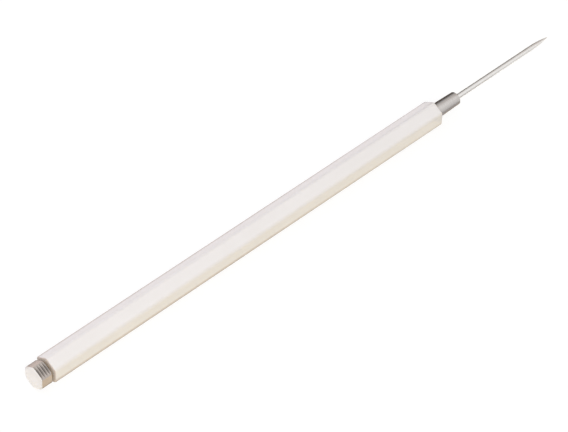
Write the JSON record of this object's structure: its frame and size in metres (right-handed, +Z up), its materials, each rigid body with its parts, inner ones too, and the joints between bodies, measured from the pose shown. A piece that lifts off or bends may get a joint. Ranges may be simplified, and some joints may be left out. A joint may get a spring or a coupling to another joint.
{
  "type": "pottery needle tool",
  "caption": "Retractable pottery needle tool: slim white hexagonal metal handle, ribbed push button that opens a collet, tapered bright nose and long steel needle.",
  "frame": {"origin": "under the middle of the tool's overall length, on the surface that it lies on", "axes": "+X along the tool towards the needle's point, +Z up out of the handle's upper facet, which is the one with the ribs of the push button"},
  "size_m": [0.1858, 0.0074, 0.0066],
  "materials": {
    "white_lacquer": "gloss white lacquer, bare metal at the ends",
    "bright_metal": "bright nickel plate",
    "white_enamel": "gloss white",
    "needle_steel": "ground and polished steel",
    "spring_steel": "drawn spring wire",
    "plain_steel": "plain drawn steel",
    "brass": "turned brass"
  },
  "bodies": {
    "handle_assembly": {"handle": "white_lacquer", "guide_bush": "brass", "nose_collar": "bright_metal", "spring_washer": "plain_steel", "return_spring": "spring_steel"},
    "clutch": {"push_button": "bright_metal", "button_cap": "white_enamel", "push_tube": "plain_steel", "spring_collar": "brass", "collet": "brass"},
    "needle_rod": {"needle": "needle_steel"}
  },
  "joints": [
    {"name": "button_press", "type": "slide", "parent": "handle_assembly", "child": "clutch", "axis": [1, 0, 0], "range_m": [0, 0.0006], "stiffness_N_per_m": 330, "springref_m": -0.004, "deforming": ["return_spring"]},
    {"name": "needle_slide", "type": "slide", "parent": "clutch", "child": "needle_rod", "axis": [1, 0, 0], "range_m": [-0.0383, 0]}
  ]
}
